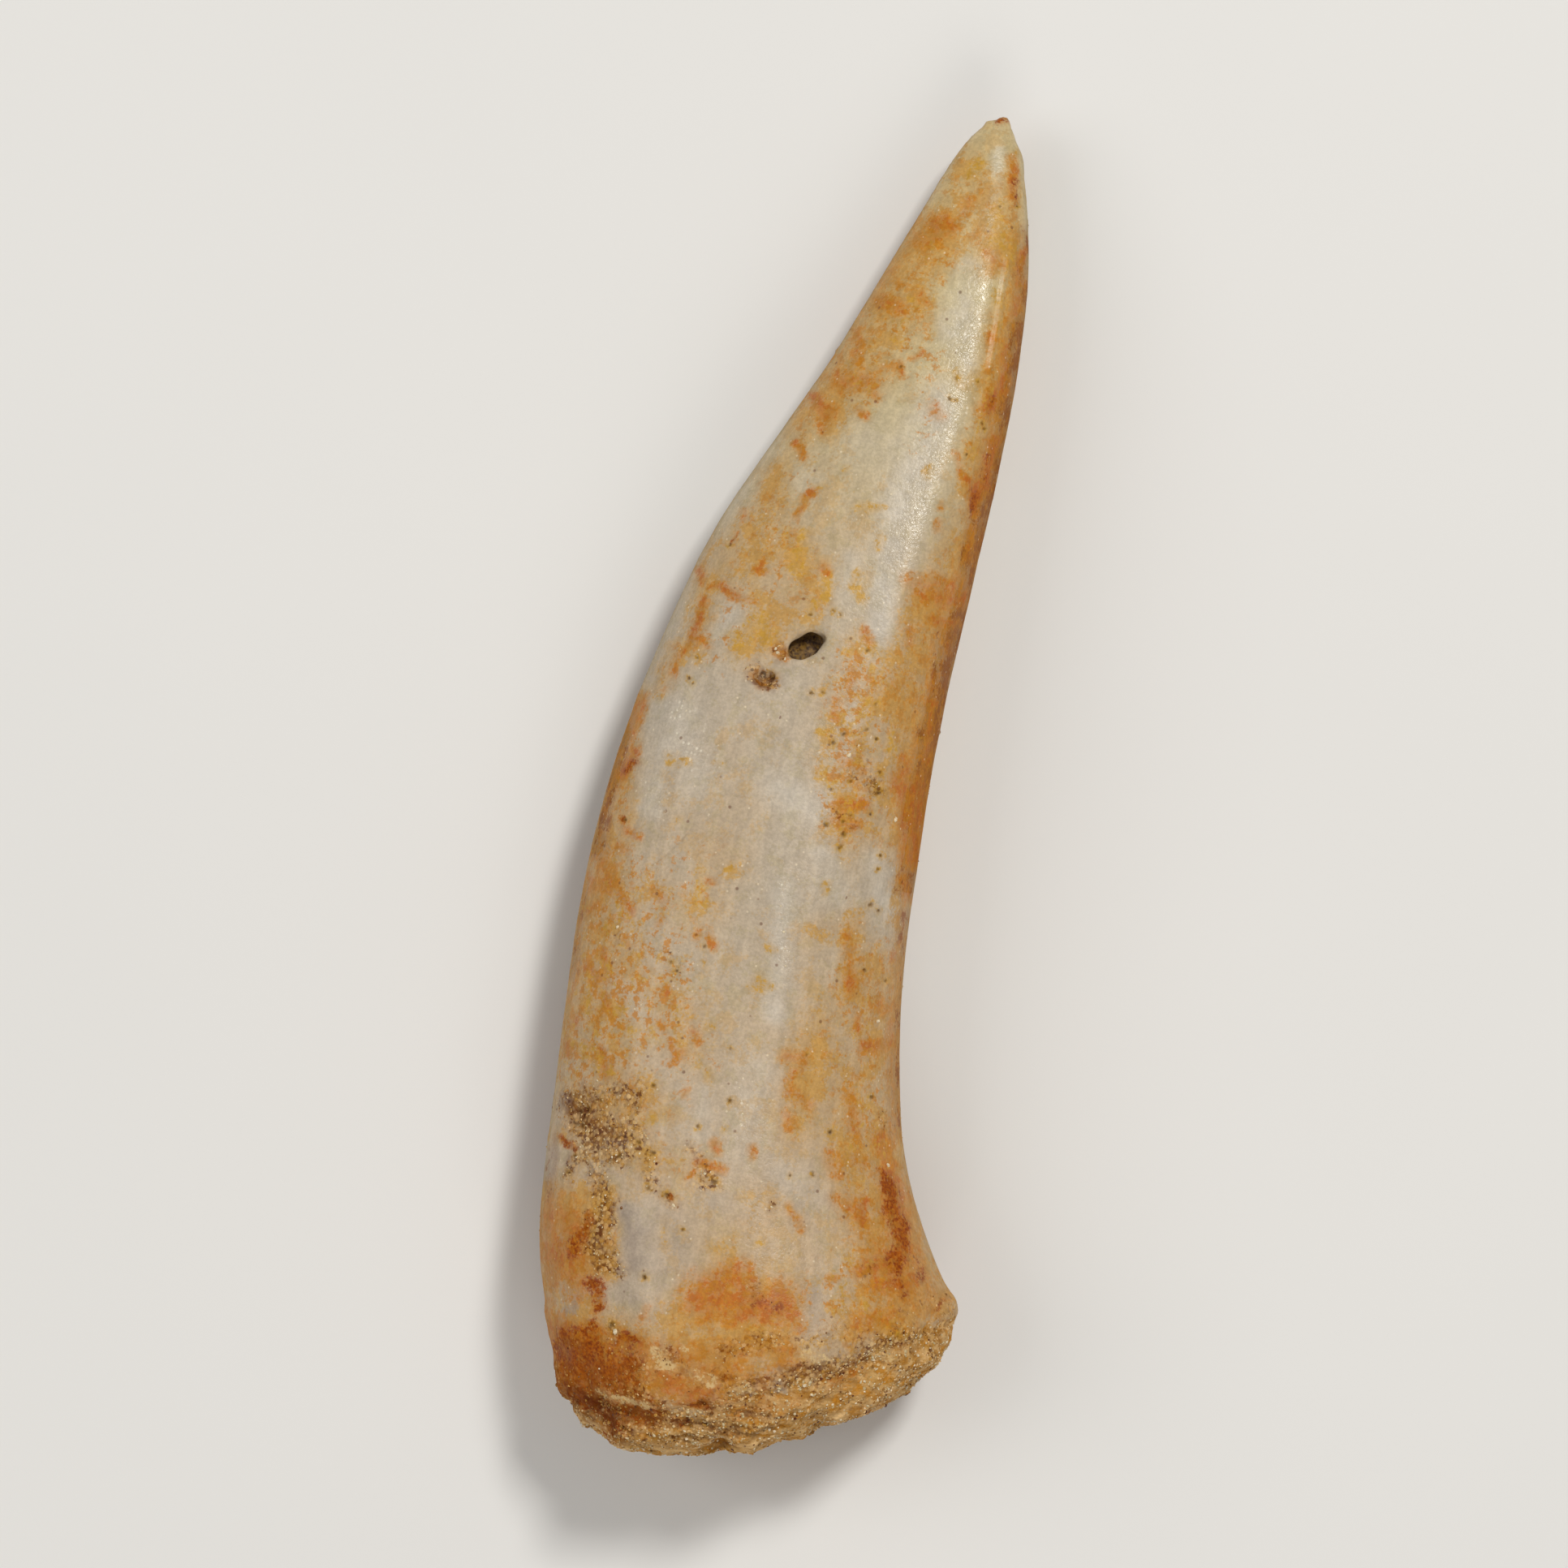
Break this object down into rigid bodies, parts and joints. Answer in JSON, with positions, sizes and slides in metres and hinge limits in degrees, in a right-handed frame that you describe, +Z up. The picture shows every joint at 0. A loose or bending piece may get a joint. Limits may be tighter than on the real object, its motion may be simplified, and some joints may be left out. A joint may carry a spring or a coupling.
{
  "type": "fossil enchodus fang",
  "caption": "Long, slightly curved fossil fish fang with a blunt tip, an off-centre crest along the blade and a broken sandy root, lying on its flatter side.",
  "frame": {"origin": "under the middle of the fang's outline, on the surface that it lies on", "axes": "+Y from the broken root to the tip, +Z up from the surface, +X towards the crest's side, to the right seen from above with the tip ahead"},
  "size_m": [0.0126, 0.038, 0.007],
  "materials": {
    "fossil_enamel": "ivory-coloured, semi-gloss fossil enamel with ochre and rust stains, and rough sandy brown on the broken root"
  },
  "bodies": {
    "root": {"fang": "fossil_enamel"}
  },
  "joints": []
}
